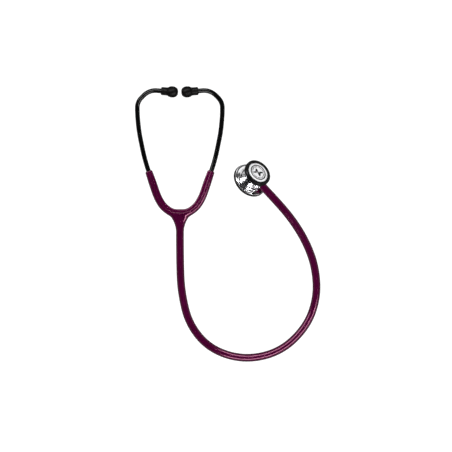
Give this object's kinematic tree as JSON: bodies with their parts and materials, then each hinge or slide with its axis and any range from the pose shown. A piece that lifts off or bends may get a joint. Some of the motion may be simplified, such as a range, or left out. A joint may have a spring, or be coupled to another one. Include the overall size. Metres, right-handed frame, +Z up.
{
  "type": "stethoscope",
  "caption": "Dual-sided stethoscope lying flat: sprung headset with soft eartips, Y-shaped tubing and a rotating steel chestpiece with a large and a small diaphragm.",
  "frame": {"origin": "centre of the bottom of the box around everything but the hose, on the surface it lies on", "axes": "+Z up from the surface it lies on; +Y from the yoke towards the eartips; +X towards the chestpiece's side"},
  "size_m": [0.2263, 0.3353, 0.0421],
  "materials": {
    "tubing": "satin plum PVC, moulded",
    "spring_steel": "bright spring steel",
    "ear_tube": "black anodised, polished",
    "eartip": "soft matt black",
    "core": "plain moulded",
    "steel": "turned and polished",
    "seal": "plain",
    "rim": "glossy black",
    "surround": "thin flexible",
    "diaphragm": "smooth, printed ring"
  },
  "bodies": {
    "headset": {"yoke_junction": "tubing", "headset_spring": "spring_steel", "main_tube": "tubing", "stem": "steel", "stem_o_rings": "seal", "stem_retaining_ring": "spring_steel"},
    "left_ear": {"left_yoke_arm": "tubing", "left_ear_tube": "ear_tube"},
    "right_ear": {"right_yoke_arm": "tubing", "right_ear_tube": "ear_tube"},
    "left_tip": {"left_eartip": "eartip", "left_eartip_core": "core"},
    "right_tip": {"right_eartip": "eartip", "right_eartip_core": "core"},
    "chestpiece": {"chestpiece_body": "steel", "adult_rim": "rim", "adult_surround": "surround", "pediatric_rim": "rim", "pediatric_surround": "surround", "detent_ball": "spring_steel", "detent_spring": "spring_steel", "detent_screw": "steel"},
    "adult_disc": {"adult_diaphragm": "diaphragm"},
    "pediatric_disc": {"pediatric_diaphragm": "diaphragm"}
  },
  "joints": [
    {"name": "left_ear_hinge", "type": "hinge", "parent": "headset", "child": "left_ear", "pos_m": [-0.0437, -0.06105, 0.0049], "axis": [0, 0, 1], "range_deg": [-0.5, 32], "stiffness_Nm_per_rad": 1.6, "deforming": ["headset_spring"]},
    {"name": "right_ear_hinge", "type": "hinge", "parent": "headset", "child": "right_ear", "pos_m": [-0.0117, -0.06105, 0.0049], "axis": [0, 0, -1], "range_deg": [-0.5, 20], "stiffness_Nm_per_rad": 1.6, "deforming": ["headset_spring"]},
    {"name": "left_eartip_twist", "type": "hinge", "parent": "left_ear", "child": "left_tip", "pos_m": [-0.03845, 0.0815, 0.0174], "axis": [0.9856, -0.0928, 0.1411], "continuous": true},
    {"name": "right_eartip_twist", "type": "hinge", "parent": "right_ear", "child": "right_tip", "pos_m": [-0.01695, 0.0815, 0.0174], "axis": [-0.9856, -0.0928, 0.1411], "continuous": true},
    {"name": "chestpiece_swivel", "type": "hinge", "parent": "headset", "child": "chestpiece", "pos_m": [0.0619, -0.0218, 0.02245], "axis": [0.6871, -0.7266, 0], "continuous": true},
    {"name": "adult_diaphragm_press", "type": "slide", "parent": "chestpiece", "child": "adult_disc", "axis": [0.4909, 0.4642, 0.7373], "range_m": [0, 0.0004], "stiffness_N_per_m": 6000},
    {"name": "pediatric_diaphragm_press", "type": "slide", "parent": "chestpiece", "child": "pediatric_disc", "axis": [-0.4909, -0.4642, -0.7373], "range_m": [0, 0.0003], "stiffness_N_per_m": 8000}
  ]
}
